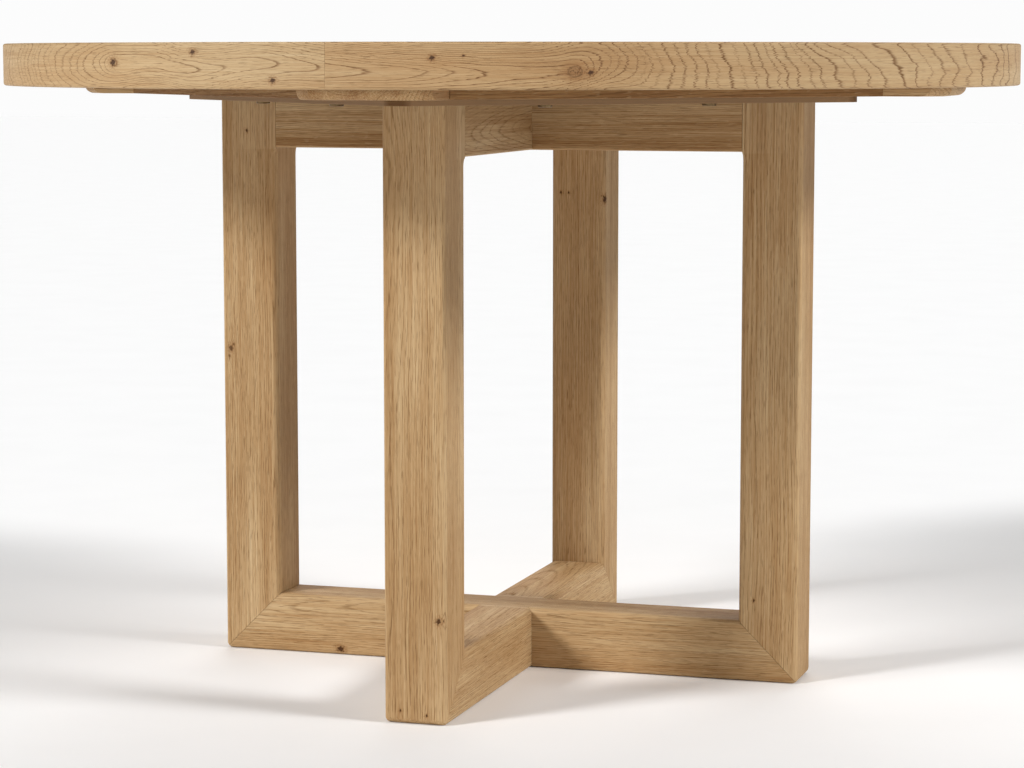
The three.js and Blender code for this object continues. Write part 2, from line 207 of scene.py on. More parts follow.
def solid(rings):
    """An object through rings of points, one above the other, closed at both ends."""
    bm = bmesh.new()
    rows = [[bm.verts.new(point) for point in ring] for ring in rings]
    count = len(rows[0])
    for low, high in zip(rows, rows[1:]):
        for k in range(count):
            following = (k + 1) % count
            bm.faces.new((low[k], low[following], high[following], high[k]))
    bm.faces.new(rows[0][::-1])
    bm.faces.new(rows[-1])
    bmesh.ops.recalc_face_normals(bm, faces=bm.faces)
    for face in bm.faces:
        face.smooth = True
    mesh = bpy.data.meshes.new("work")
    bm.to_mesh(mesh)
    bm.free()
    obj = bpy.data.objects.new("work", mesh)
    bpy.context.scene.collection.objects.link(obj)
    return obj


def prism(outline, bottom, top):
    """An upright solid over an outline in plan."""
    return solid([[(x, y, z) for x, y in outline] for z in (bottom, top)])


def beam(outline, start, end):
    """A solid along X over an outline in Y and Z."""
    return solid([[(x, y, z) for y, z in outline] for x in (start, end)])


def block(low, high):
    outline = [(low[0], low[1]), (high[0], low[1]), (high[0], high[1]), (low[0], high[1])]
    return prism(outline, low[2], high[2])


def lathe(profile, x=0.0, y=0.0, sides=32):
    """A turned solid about Z through (radius, height) points, closed at both ends."""
    turns = [(math.cos(i * 2 * math.pi / sides), math.sin(i * 2 * math.pi / sides)) for i in range(sides)]
    return solid([[(x + radius * c, y + radius * s, height) for c, s in turns] for radius, height in profile])


def rod(width, bottom, top, x=0.0, y=0.0, sides=32):
    return lathe([(width / 2, bottom), (width / 2, top)], x, y, sides)


def turned(obj, angle, axis="Z"):
    obj.data.transform(Matrix.Rotation(angle, 4, axis))
    return obj


def moved(obj, x=0.0, y=0.0, z=0.0):
    obj.data.transform(Matrix.Translation((x, y, z)))
    return obj


def modify(body, kind, **settings):
    modifier = body.modifiers.new("work", kind)
    for key, value in settings.items():
        setattr(modifier, key, value)


def modified_mesh(body):
    """A mesh of the body with its modifiers applied."""
    depsgraph = bpy.context.evaluated_depsgraph_get()
    evaluated = body.evaluated_get(depsgraph)
    return bpy.data.meshes.new_from_object(evaluated, preserve_all_data_layers=True, depsgraph=depsgraph)


def worked(body, additions=(), cutters=(), ease=EASE):
    """The body's mesh with its additions joined, its cutters taken away and its sharp edges eased."""
    for tool in additions:
        modify(body, "BOOLEAN", operation="UNION", solver="EXACT", object=tool)
    for tool in cutters:
        modify(body, "BOOLEAN", operation="DIFFERENCE", solver="EXACT", object=tool)
    modify(body, "WELD", merge_threshold=WELD_DISTANCE)
    modify(body, "BEVEL", width=ease, segments=2, limit_method="ANGLE", angle_limit=SMOOTH_ANGLE)
    modify(body, "WEIGHTED_NORMAL", keep_sharp=True)
    mesh = modified_mesh(body)
    for obj in (body, *additions, *cutters):
        bpy.data.objects.remove(obj)
    return mesh


def lap_block(reach, bottom, top, from_above):
    """A block over the upper half of a piece, or the lower, from -reach to reach along X."""
    middle = (bottom + top) / 2
    low, high = (middle - GAP / 2, top + MARGIN) if from_above else (bottom - MARGIN, middle + GAP / 2)
    return block((-reach, -MARGIN, low), (reach, MARGIN, high))


def cross_slot(length, width, bottom, top, x, y=0.0):
    """The two arms of a screw's cross slot."""
    arms = ((length / 2, width / 2), (width / 2, length / 2))
    return [moved(block((-a, -b, bottom), (a, b, top)), x, y) for a, b in arms]


def points_of(mesh):
    flat = np.zeros(len(mesh.vertices) * 3, np.float32)
    mesh.vertices.foreach_get("co", flat)
    return flat.reshape(-1, 3).astype(float)


# ---- Wood axes: where each piece lies in its log ----

def flowing(where, places, values):
    """Values read off a smooth curve through a few points."""
    slopes = np.gradient(values, places)
    index = np.clip(np.searchsorted(places, where) - 1, 0, len(places) - 2)
    length = places[index + 1] - places[index]
    share = np.clip((where - places[index]) / length, 0, 1)
    rise = share * share * (3 - 2 * share)
    leaving = share * (1 - share) ** 2 * length * slopes[index]
    arriving = share * share * (share - 1) * length * slopes[index + 1]
    return values[index] * (1 - rise) + values[index + 1] * rise + leaving + arriving


def straight(pith, tilt=(0.0, 0.0), oval=1.0):
    """A pith that runs straight past a piece: its place beside the middle, and its lean along the grain."""
    return [(end, pith[0] + end * tilt[0], pith[1] + end * tilt[1], oval) for end in (-1.0, 1.0)]


def wrapped(angle):
    """The same angle between minus half a turn and half a turn."""
    return (angle + math.pi) % (2 * math.pi) - math.pi


class Log:
    """A piece's place in its log: its middle, its axes along and across the grain, and the pith's course.

    The course lists places along the grain, each with the pith's two offsets there and the rings' ovalness.
    half is the piece's half size along its axes, and reach how far in from its edges the wear and the painted
    edge highlight run.
    """

    def __init__(self, centre, axes, course, shift=0.0, half=(1, 1, 1), reach=EASE):
        along, across = (Vector(axis) for axis in axes)
        self.axes = np.array([along, across, along.cross(across)], float)
        self.centre = np.array(centre, float)
        self.course = np.array(course, float).T
        self.shift = shift
        self.half, self.reach = np.array(half, float), reach

    def local(self, points):
        """Points in the piece: along the grain, and across it twice."""
        return (points - self.centre) @ self.axes.T

    def grain(self, local):
        """Points of the piece in a stretch of wood of its own."""
        return local + np.array([self.shift, 0, 0])

    def rings(self, local):
        """The same points seen from the pith, which gives their ring."""
        places, across, deep, oval = self.course[:4]
        along = local[:, 0]
        side = (local[:, 1] - flowing(along, places, across)) * flowing(along, places, oval)
        return np.stack([0 * along, side, local[:, 2] - flowing(along, places, deep)], axis=1)

    def lean(self, local):
        """How the pith's offset changes along the grain."""
        step = np.array([LEAN_STEP, 0, 0])
        return (self.rings(local + step) - self.rings(local - step)) / (2 * LEAN_STEP)

    def wear(self, local):
        """1 on a piece's outer edges and 0 on its faces."""
        second = np.sort(self.half - np.abs(local), axis=1)[:, 1]
        return np.clip(1 - second / self.reach, 0, 1)


class BentLog(Log):
    """The same for a strip bent round the table's edge: along is its arc, across is up and deep is outward.

    Its course is given in degrees round the table, and each place has the wood's tone as well.
    """

    def __init__(self, radius, middle_angle, middle_height, course, **rest):
        course = [(radius * (math.radians(degrees) - middle_angle), *row) for degrees, *row in course]
        super().__init__((0, 0, 0), ALONG_X, course, **rest)
        self.radius, self.middle_angle, self.middle_height = radius, middle_angle, middle_height

    def tone(self, local):
        return flowing(local[:, 0], self.course[0], self.course[4])

    def local(self, points):
        angle = wrapped(np.arctan2(points[:, 1], points[:, 0]) - self.middle_angle)
        distance = np.hypot(points[:, 0], points[:, 1])
        height = points[:, 2] - self.middle_height
        return np.stack([self.radius * angle, height, distance - self.radius], axis=1)


def store(mesh, name, values):
    kind, field = ("FLOAT_VECTOR", "vector") if values.ndim == 2 else ("FLOAT", "value")
    attribute = mesh.attributes.new(name, kind, "POINT")
    attribute.data.foreach_set(field, values.astype(np.float32).ravel())


def give_wood(mesh, log, tone):
    """Stores the wood axes in the mesh. A tone of None is read off the log."""
    local = log.local(points_of(mesh))
    for name, values in (("grain", log.grain), ("rings", log.rings), ("lean", log.lean), ("wear", log.wear)):
        store(mesh, name, values(local))
    store(mesh, "tone", log.tone(local) if tone is None else np.full(len(local), tone))


def piece(name, mesh, node, material, turn=0.0):
    """Adds a finished mesh that stands for a CAD node, or for none."""
    mesh.transform(Matrix.Rotation(turn, 4, "Z"))
    mesh.name = name
    mesh.materials.clear()
    mesh.materials.append(material)
    mesh.polygons.foreach_set("material_index", [0] * len(mesh.polygons))
    obj = bpy.data.objects.new(name, mesh)
    bpy.context.scene.collection.objects.link(obj)
    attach(obj, "root")
    if node:
        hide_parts(node)


SEED = 7
dice = random.Random(SEED)


def wooden(node, mesh, log, material, turn=0.0, tone=None):
    """A wooden piece, with its log's axes and its own tone, or its log's."""
    if tone is None and not isinstance(log, BentLog):
        tone = dice.uniform(-1, 1)
    give_wood(mesh, log, tone)
    piece(node + "_wood", mesh, node, material, turn)


# ---- Shader helpers ----

def srgb(red, green, blue):
    """A colour picked on a 0 to 255 screen scale, as a linear shader colour."""
    linear = [((c / 255 + 0.055) / 1.055) ** 2.4 if c > 10 else c / 255 / 12.92 for c in (red, green, blue)]
    return (*linear, 1.0)


class Tree:
    """A node tree with short calls for the nodes that the materials use."""

    def __init__(self, tree):
        self.tree = tree

    def node(self, kind, inputs=None, **settings):
        made_node = self.tree.nodes.new(kind)
        for key, value in settings.items():
            setattr(made_node, key, value)
        for key, value in (inputs or {}).items():
            if isinstance(value, bpy.types.NodeSocket):
                self.link(value, made_node.inputs[key])
            else:
                made_node.inputs[key].default_value = value
        return made_node

    def link(self, value, socket):
        self.tree.links.new(value, socket)

    def math(self, operation, *values):
        return self.node("ShaderNodeMath", dict(enumerate(values)), operation=operation).outputs[0]

    def times(self, first, second):
        return self.math("MULTIPLY", first, second)

    def vector(self, operation, *values, output=0):
        return self.node("ShaderNodeVectorMath", dict(enumerate(values)), operation=operation).outputs[output]

    def combine(self, x=0.0, y=0.0, z=0.0):
        return self.node("ShaderNodeCombineXYZ", {0: x, 1: y, 2: z}).outputs[0]

    def separate(self, vector):
        return self.node("ShaderNodeSeparateXYZ", {0: vector}).outputs

    def attribute(self, name, output="Fac"):
        return self.node("ShaderNodeAttribute", attribute_name=name).outputs[output]

    def noise(self, vector, detail=1.0, roughness=0.5, output=0, scale=1.0):
        inputs = {"Vector": vector, "Scale": scale, "Detail": detail, "Roughness": roughness}
        return self.node("ShaderNodeTexNoise", inputs).outputs[output]

    def stretched(self, vector, pace, **noise):
        """A noise that changes at its own pace along each axis, per metre."""
        return self.noise(self.vector("MULTIPLY", vector, pace), **noise)

    def step(self, value, low, high, to_low=0.0, to_high=1.0):
        """A smooth change from to_low at low to to_high at high."""
        inputs = {0: value, 1: low, 2: high, 3: to_low, 4: to_high}
        return self.node("ShaderNodeMapRange", inputs, interpolation_type="SMOOTHSTEP").outputs[0]

    def mix(self, factor, first, second, blend="MIX"):
        inputs = {0: factor, 6: first, 7: second}
        return self.node("ShaderNodeMix", inputs, data_type="RGBA", blend_type=blend).outputs[2]

    def total(self, base, parts, weights):
        """The base, plus each weighted part."""
        for name, weight in weights.items():
            base = self.math("MULTIPLY_ADD", parts[name], weight, base)
        return base

    def relief(self, shader, height, strength, distance):
        bump = self.node("ShaderNodeBump", {"Strength": strength, "Distance": distance, "Height": height})
        self.link(bump.outputs[0], shader.inputs["Normal"])


def new_material(name):
    """A material, its tree and its Principled shader."""
    material = bpy.data.materials.new(name)
    material.use_nodes = True
    material.node_tree.nodes.clear()
    tree = Tree(material.node_tree)
    shader = tree.node("ShaderNodeBsdfPrincipled")
    tree.node("ShaderNodeOutputMaterial", {"Surface": shader.outputs[0]})
    return material, tree, shader


# ---- Oak ----

# Paces of the oak's noises, per metre: along the grain, and across it twice
SWEEP = (2.2, 9.0, 9.0)
RIPPLE = (16.0, 55.0, 55.0)
JAGS = (40.0, 1000.0, 1000.0)
CLOUDS = (3.5, 30.0, 30.0)
BANDS = (0.9, 42.0, 42.0)
LONG_FIBRES = (6.0, 520.0, 520.0)
FINE_FIBRES = (22.0, 1000.0, 1000.0)
PORES = (55.0, 1500.0, 1500.0)
KNOT_OUTLINE = (420.0, 420.0, 420.0)
KNOT_CRACKS = (700.0, 520.0, 520.0)

# Other paces: away from the pith, along the grain or round the pith
DRIFT_PACE = 180.0
BOLD_PACE = (330.0, 5.0)
RAY_PACE = (75.0, 95.0)

JAG = 0.006  # how far pores draw a ring line out along the grain
DRIFT = 1.6  # how many rings the spacing drifts by
LINE_RISE = 0.35  # width of a line's early side, against its late side
LINE_POWER = 1.7
TONE_SPAN = 0.10
GREEN_POWER, BLUE_POWER = 1.5, 2.1  # darker wood is redder too

# Smooth steps: from, to, the value before and the value after
BOLD_STEP = (0.3, 0.6, 0.4, 1.0)
RAY_STEP = (0.66, 0.74)
PORE_STEP = (0.62, 0.72)
CLOUD_STEP = (0.3, 0.7)
WEAR_HIGHLIGHT_STEP = (0.35, 0.65, 0.15, 0.45)
KNOT_FADE = (0.7, 1.0, 1.0, 0.0)
KNOT_EDGE_RISE = (0.7, 0.95)
KNOT_EDGE_FALL = (1.0, 1.25, 0.45, 0.0)
KNOT_HALO_FALL = (0.8, 2.8, 1.0, 0.0)
CRACK_STEP = (0.54, 0.6, 0.0, 0.8)

KNOT_SHAPE = (0.75, 1.0, 1.0)  # a knot is longer along the grain
KNOT_RAGGED = (0.2, 2.4)  # how ragged a pale knot is, and a dark one
PORES_IN_LINES = 0.16

# How much each part of the wood counts in its shade, colours, roughness and relief
STREAKS = {"long": 0.7, "fine": 0.8, "band": 0.7}
TINTS = {
    "pores": (0.55, srgb(107, 75, 40)),
    "rays": (0.16, srgb(212, 182, 140)),
    # the pale edge tint is partly wear and partly a painted highlight on the arrises
    "wear_and_highlight": (1.0, srgb(207, 176, 134)),
    "halo": (0.45, srgb(132, 84, 38)),
    "core": (0.9, srgb(62, 32, 10)),
}
ROUGHNESS = {"pores": 0.2, "lines": 0.06, "fine": 0.14, "wear": -0.16}
RELIEF = {"pores": -1.0, "lines": -0.45, "fine": 0.5, "long": 0.4}
RELIEF_DEPTH = 0.00022


def knot(tree, point, centre, size, spread, push, dark):
    """How far one knot pushes the rings aside at a point of the wood, and how much of it is halo and core."""
    away = tree.vector("MULTIPLY", tree.vector("SUBTRACT", point, centre), KNOT_SHAPE)
    distance = tree.vector("LENGTH", away, output="Value")
    least, most = KNOT_RAGGED
    ragged = tree.math("SUBTRACT", tree.stretched(away, KNOT_OUTLINE, detail=2.0), 0.5)
    ragged = tree.math("MULTIPLY_ADD", ragged, least + (most - least) * dark, 1.0)
    share = tree.math("DIVIDE", tree.times(distance, ragged), size)
    inside = tree.step(share, *KNOT_FADE)
    edge = tree.times(tree.step(share, *KNOT_EDGE_RISE), tree.step(share, *KNOT_EDGE_FALL))
    cracks = tree.step(tree.stretched(away, KNOT_CRACKS, detail=2.0), *CRACK_STEP)
    core = tree.math("MAXIMUM", edge, tree.times(inside, cracks))
    core = tree.math("MAXIMUM", tree.times(inside, dark), core)
    fall = tree.math("EXPONENT", tree.math("DIVIDE", distance, -spread))
    return tree.times(fall, push), tree.step(share, *KNOT_HALO_FALL), core


def spread_noise(tree, point, pace, size):
    """Two noises across the grain, each from -size to size, for moving a point about."""
    spread = tree.vector("SUBTRACT", tree.stretched(point, pace, output=1), (0.5, 0.5, 0.5))
    return tree.vector("MULTIPLY", spread, (0.0, 2 * size, 2 * size))


def ring_place(tree, point, wander, ripple):
    """The place seen from the pith, moved about so that the rings wander, ripple and follow the pores."""
    jag = tree.math("MULTIPLY_ADD", tree.stretched(point, JAGS), 2 * JAG, -JAG)
    place = tree.vector("ADD", tree.attribute("rings", "Vector"), spread_noise(tree, point, SWEEP, wander))
    place = tree.vector("ADD", place, spread_noise(tree, point, RIPPLE, ripple))
    return tree.vector("ADD", place, tree.vector("MULTIPLY", tree.attribute("lean", "Vector"), jag))


def ring_lines(tree, radius, along, ring, line):
    """1 on a ring's porous line and 0 in its late wood, with some lines fainter than others."""
    drift = tree.noise(tree.combine(tree.times(radius, DRIFT_PACE)))
    phase = tree.math("MULTIPLY_ADD", drift, DRIFT, tree.math("DIVIDE", radius, ring))
    share = tree.math("FRACT", phase)
    rise = tree.step(share, 1.0 - line * LINE_RISE, 1.0)
    fall = tree.step(share, 0.0, line, 1.0, 0.0)
    lines = tree.math("POWER", tree.math("MAXIMUM", rise, fall), LINE_POWER)
    out, up = BOLD_PACE
    bold = tree.noise(tree.combine(tree.times(radius, out), tree.times(along, up)))
    return tree.times(lines, tree.step(bold, *BOLD_STEP))


def oak_rays(tree, along, place):
    """Flecks where rays from the pith meet the surface."""
    seen = tree.separate(place)
    angle = tree.math("ARCTAN2", seen[2], seen[1])
    up, turn = RAY_PACE
    rays = tree.combine(tree.times(along, up), tree.times(angle, turn))
    return tree.step(tree.noise(rays, detail=0.0), *RAY_STEP)


def oak_colour(tree, point, wood, palette, figure, streak):
    """Clouds of two tones, ring lines, a shade from the fibres and the piece's tone, and the tints."""
    late, line_colour, golden = palette
    cloud = tree.stretched(point, CLOUDS, detail=2.0)
    colour = tree.mix(tree.step(cloud, *CLOUD_STEP), late, golden)
    colour = tree.mix(tree.times(wood["lines"], figure), colour, line_colour)
    level = tree.math("MULTIPLY_ADD", tree.attribute("tone"), TONE_SPAN, 1.0)
    for part, weight in STREAKS.items():
        level = tree.math("SUBTRACT", level, weight * streak / 2)
        level = tree.math("MULTIPLY_ADD", wood[part], weight * streak, level)
    shade = tree.combine(level, tree.math("POWER", level, GREEN_POWER), tree.math("POWER", level, BLUE_POWER))
    colour = tree.mix(1.0, colour, shade, "MULTIPLY")
    for part, (weight, tint) in TINTS.items():
        if part in wood:
            colour = tree.mix(tree.times(wood[part], weight), colour, tint)
    return colour


def oak(name, palette, knots=(), ring=0.0022, wander=0.009, ripple=0.0010, line=0.3, figure=0.4, streak=1.0,
        gloss=0.5, sheen=0.35):
    """Oak from the log's axes: porous rings, pores, rays, fibres, knots, edge wear with a painted highlight,
    roughness and relief.

    palette holds the late wood, the ring line and the golden tone. Each knot is its centre in the wood, its
    size, how far it bends the rings, by how much, and how dark it is. ring is the spacing of the rings,
    wander and ripple how far they stray, line a line's share of its ring, and figure and streak how strong
    the lines and fibres are. gloss is the roughness of plain wood, and sheen its specular level.
    """
    material, tree, shader = new_material(name)
    point = tree.attribute("grain", "Vector")
    along = tree.separate(point)[0]
    place = ring_place(tree, point, wander, ripple)
    radius = tree.vector("LENGTH", place, output="Value")
    wood = {}
    for one in knots:
        push, halo, core = knot(tree, point, *one)
        radius = tree.math("ADD", radius, push)
        wood["halo"] = tree.math("MAXIMUM", wood.get("halo", 0.0), halo)
        wood["core"] = tree.math("MAXIMUM", wood.get("core", 0.0), core)

    wood["lines"] = ring_lines(tree, radius, along, ring, line)
    wood["long"] = tree.stretched(point, LONG_FIBRES, detail=2.0, roughness=0.6)
    wood["fine"] = tree.stretched(point, FINE_FIBRES, detail=2.0, roughness=0.7)
    wood["band"] = tree.stretched(point, BANDS, detail=2.0)
    pores = tree.math("MULTIPLY_ADD", wood["lines"], PORES_IN_LINES, tree.stretched(point, PORES))
    wood["pores"] = tree.step(pores, *PORE_STEP)
    wood["rays"] = oak_rays(tree, along, place)
    wood["wear"] = tree.attribute("wear")
    # pale along the worn edges: partly real wear, partly a painted highlight on the arrises
    wood["wear_and_highlight"] = tree.times(wood["wear"], tree.step(wood["long"], *WEAR_HIGHLIGHT_STEP))

    tree.link(oak_colour(tree, point, wood, palette, figure, streak), shader.inputs["Base Color"])
    tree.link(tree.total(gloss, wood, ROUGHNESS), shader.inputs["Roughness"])
    shader.inputs["Specular IOR Level"].default_value = sheen
    tree.relief(shader, tree.total(0.0, wood, RELIEF), strength=0.6, distance=RELIEF_DEPTH)
    return material


# ---- Plywood and metal ----

PLIES = 5
PLY_FIBRES = (14.0, 320.0, 900.0)
PLY_CLOUDS = (3.0, 26.0, 60.0)
# the board's browns are darkened to paint the shade it lies in under the top
PLY_PALE_IN_PAINTED_SHADE, PLY_DEEP_IN_PAINTED_SHADE = srgb(120, 88, 54), srgb(109, 78, 46)
PLY_ACROSS_SHADED = srgb(92, 67, 44)
# a painted highlight along the board's eased edges
PLY_PAINTED_HIGHLIGHT = srgb(182, 151, 115)
PLY_ACROSS_SHARE, PLY_PAINTED_HIGHLIGHT_SHARE = 0.45, 0.6
PLY_SHADE = (0.5, 0.75)  # gain and least shade of the fibres
PLY_ROUGHNESS = (0.2, 0.55)
PLY_SPECULAR = 0.2
METAL_CLOUDS = 180.0
METAL_GRAIN = 2400.0
SCRATCHES = (300.0, 5000.0, 300.0)
METAL_CLOUD_STEP = (0.35, 0.7)
SCRATCH_STEP = (0.6, 0.7)
CLOUD_ROUGHNESS, SCRATCH_ROUGHNESS = 0.25, 0.12


def plywood(name):
    """Brown board whose plies cross each other, which shows on its edges; its browns are darkened as painted
    shade, and its eased edges carry a painted highlight.
    """
    material, tree, shader = new_material(name)
    along, across, deep = tree.separate(tree.attribute("grain", "Vector"))
    thickness = mount_high.z - mount_low.z
    ply = tree.math("DIVIDE", tree.math("ADD", deep, thickness / 2), thickness / PLIES)
    odd = tree.math("MODULO", tree.math("FLOOR", ply), 2.0)
    odd = tree.math("ABSOLUTE", odd)
    lay = tree.mix(odd, tree.combine(along, across, deep), tree.combine(across, along, deep))
    fibre = tree.stretched(lay, PLY_FIBRES, detail=3.0, roughness=0.6)
    cloud = tree.stretched(lay, PLY_CLOUDS, detail=2.0)
    colour = tree.mix(tree.step(cloud, *CLOUD_STEP), PLY_PALE_IN_PAINTED_SHADE, PLY_DEEP_IN_PAINTED_SHADE)
    colour = tree.mix(tree.times(odd, PLY_ACROSS_SHARE), colour, PLY_ACROSS_SHADED)
    shade = tree.math("MULTIPLY_ADD", fibre, *PLY_SHADE)
    colour = tree.mix(1.0, colour, tree.combine(shade, shade, shade), "MULTIPLY")
    # paint a highlight along the board's eased edges
    colour = tree.mix(tree.times(tree.attribute("wear"), PLY_PAINTED_HIGHLIGHT_SHARE), colour, PLY_PAINTED_HIGHLIGHT)
    tree.link(colour, shader.inputs["Base Color"])
    tree.link(tree.math("MULTIPLY_ADD", fibre, *PLY_ROUGHNESS), shader.inputs["Roughness"])
    shader.inputs["Specular IOR Level"].default_value = PLY_SPECULAR
    tree.relief(shader, fibre, strength=0.5, distance=0.0002)
    return material


def metal(name, colour, dull, roughness):
    """Metal with a fine grain, dull clouds and small scratches."""
    material, tree, shader = new_material(name)
    point = tree.node("ShaderNodeTexCoord").outputs["Object"]
    cloud = tree.noise(point, detail=3.0, scale=METAL_CLOUDS)
    scratch = tree.step(tree.stretched(point, SCRATCHES), *SCRATCH_STEP)
    tree.link(tree.mix(tree.step(cloud, *METAL_CLOUD_STEP), colour, dull), shader.inputs["Base Color"])
    rough = tree.math("MULTIPLY_ADD", cloud, CLOUD_ROUGHNESS, roughness - CLOUD_ROUGHNESS / 2)
    rough = tree.math("MULTIPLY_ADD", scratch, SCRATCH_ROUGHNESS, rough)
    tree.link(rough, shader.inputs["Roughness"])
    grain = tree.noise(point, detail=2.0, scale=METAL_GRAIN)
    tree.relief(shader, grain, strength=0.35, distance=0.00008)
    shader.inputs["Metallic"].default_value = 1.0
    return material


# ---- The logs that show, with their knots ----

def bent_log(index, shift, course):
    """An edge band's log. A place is an angle, the pith's height and depth, the ovalness, and the tone."""
    half = (1.0, (table_height - edge_bottom) / 2, 1.0)
    middle = wrapped(BAND_SEAM + (index + 0.5) * 2 * math.pi / BAND_PIECES)
    height = (table_height + edge_bottom) / 2
    return BentLog(rim_radius, middle, height, course, shift=shift, half=half, reach=BAND_ROUNDING)


band_logs = [
    bent_log(0, 3.0, [
        (-91, -0.004, -0.030, 1.6, -0.2),
        (-84, -0.007, -0.034, 1.7, -0.5),
        (-77, -0.008, -0.038, 1.7, -0.7),
        (-69, -0.004, -0.044, 1.5, -1.6),
        (-64, 0.008, -0.052, 1.2, -1.8),
        (-58, -0.004, -0.066, 0.7, -1.0),
        (-50, -0.014, -0.080, 0.6, -0.5),
        (-42, -0.022, -0.093, 0.75, -0.3),
        (-25, -0.010, -0.110, 0.6, 0.1),
        (10, 0.000, -0.136, 0.7, 0.0),
        (29, 0.002, -0.144, 0.8, 0.0),
    ]),
    bent_log(1, 9.0, [
        (29, 0.002, -0.120, 0.8, 0.0),
        (60, 0.008, -0.080, 1.2, -0.4),
        (85, -0.004, -0.055, 1.5, -0.6),
        (110, -0.006, -0.085, 0.9, 0.2),
        (149, 0.000, -0.130, 0.7, 0.3),
    ]),
    bent_log(2, 15.0, [
        (-211, 0.004, -0.140, 0.8, 0.0),
        (-175, -0.004, -0.112, 0.8, 0.2),
        (-155, 0.002, -0.092, 0.9, 0.0),
        (-140, 0.002, -0.072, 0.9, -0.2),
        (-125, 0.003, -0.045, 0.9, 0.1),
        (-117, 0.003, -0.036, 1.2, 0.1),
        (-111, 0.005, -0.034, 1.5, 0.2),
        (-105, -0.004, -0.037, 1.5, 0.2),
        (-98, 0.004, -0.039, 1.6, 0.3),
        (-91, -0.002, -0.042, 1.6, 0.1),
    ]),
]


def rim_knot(index, angle, height, size, spread, push, dark=1.0):
    """A knot in an edge band, at an angle round the rim in degrees and a height."""
    log = band_logs[index]
    turn = wrapped(math.radians(angle) - log.middle_angle)
    local = np.array([[rim_radius * turn, height - log.middle_height, 0.0]])
    return tuple(log.grain(local)[0]), size, spread, push, dark


front_rim_knots = [
    rim_knot(0, -80.4, 0.7632, 0.0022, 0.010, -0.0022),
    rim_knot(0, -77.4, 0.7653, 0.0011, 0.006, -0.0012),
    rim_knot(0, -66.8, 0.7491, 0.0055, 0.014, -0.0060, 0.12),
    rim_knot(0, -65.3, 0.7481, 0.0024, 0.010, -0.0030),
]
left_rim_knots = [
    rim_knot(2, -117.0, 0.7585, 0.0034, 0.016, -0.0050),
    rim_knot(2, -105.8, 0.7694, 0.0024, 0.010, -0.0030),
    rim_knot(2, -96.5, 0.7396, 0.0024, 0.012, -0.0030),
]


def upright_log(course, shift):
    """A leg at +X: along is up, across is +Y, and deep is toward the table's middle."""
    half = (1.0, section / 2, section / 2)
    centre = (leg_centre, 0, leg_high.z / 2)
    return Log(centre, ((0, 0, 1), (0, 1, 0)), course, shift, half, OUTER_ARRIS)


def rail_log(bottom, top, course, shift, reach=OUTER_ARRIS):
    """A rail along X: along is +X, across is +Y, and deep is up."""
    half = (1.0, section / 2, (top - bottom) / 2)
    return Log((0, 0, (top + bottom) / 2), ALONG_X, course, shift, half, reach)


ARCHED_LEG = [
    (-0.36, -0.045, 0.034, 1.0),
    (-0.15, -0.042, 0.030, 1.0),
    (0.0, -0.030, 0.012, 1.0),
    (0.08, -0.026, 0.004, 1.0),
    (0.18, -0.036, 0.022, 1.0),
    (0.36, -0.045, 0.034, 1.0),
]
top_rail_span = (top_rail_low.z, top_rail_high.z)
quarters = {"right": 0, "back": 1, "left": 2, "front": 3}
frame_logs = {
    "leg_right": upright_log(straight((0.085, 0.070)), 21.0),
    "leg_back": upright_log(straight((0.090, -0.050), (0.01, 0.0)), 24.0),
    "leg_left": upright_log(straight((0.100, 0.060), (0.0, 0.01)), 27.0),
    "leg_front": upright_log(ARCHED_LEG, 30.0),
    "foot_rail_a": rail_log(0, section, straight((-0.062, 0.030), (0.02, 0.03)), 33.0),
    "foot_rail_b": rail_log(0, section, straight((0.02, 0.13), (0.01, 0.03)), 36.0),
    "top_rail_a": rail_log(*top_rail_span, straight((-0.020, -0.090), (0.0, 0.03)), 39.0, RAIL_ARRIS),
    "top_rail_b": rail_log(*top_rail_span, straight((-0.062, 0.0), (0.06, 0.03)), 42.0, RAIL_ARRIS),
}


def frame_knot(node, quarter, place, size, spread, push, dark=1.0):
    """A knot in a leg or rail, at a place on the table; quarter is how far the piece is turned about Z."""
    log = frame_logs[node]
    unturned = Matrix.Rotation(-quarter * QUARTER, 3, "Z") @ Vector(place)
    local = log.local(np.array([unturned]))
    return tuple(log.grain(local)[0]), size, spread, push, dark


half_section = section / 2
frame_knots = [
    frame_knot("leg_left", 2, (-0.342, -half_section, 0.671), 0.0014, 0.008, 0.001),
    frame_knot("leg_left", 2, (-0.367, -half_section, 0.392), 0.0026, 0.024, 0.006, 0.8),
    frame_knot("leg_left", 2, (-0.363, -half_section, 0.397), 0.0012, 0.006, 0.001, 0.7),
    frame_knot("leg_left", 2, (-0.369, -half_section, 0.382), 0.0011, 0.008, 0.002, 0.6),
    frame_knot("leg_front", 3, (0.029, -frame_reach, 0.122), 0.0026, 0.014, 0.004),
    frame_knot("leg_front", 3, (0.035, -frame_reach, 0.123), 0.0010, 0.004, 0.001),
    frame_knot("leg_front", 3, (-0.018, -frame_reach, 0.015), 0.0011, 0.004, 0.001),
    frame_knot("leg_front", 3, (0.014, -frame_reach, 0.011), 0.0013, 0.004, 0.001),
    frame_knot("leg_back", 1, (0.0368, 0.307, 0.573), 0.0032, 0.014, 0.004),
    frame_knot("leg_back", 1, (-0.024, 0.3025, 0.5815), 0.0014, 0.005, 0.001),
    frame_knot("leg_back", 1, (-0.013, 0.3025, 0.5812), 0.0012, 0.005, 0.001),
    frame_knot("foot_rail_a", 0, (-0.219, -half_section, 0.007), 0.0034, 0.014, 0.005),
    frame_knot("leg_right", 0, (0.3225, -half_section, 0.101), 0.0013, 0.006, 0.001),
]

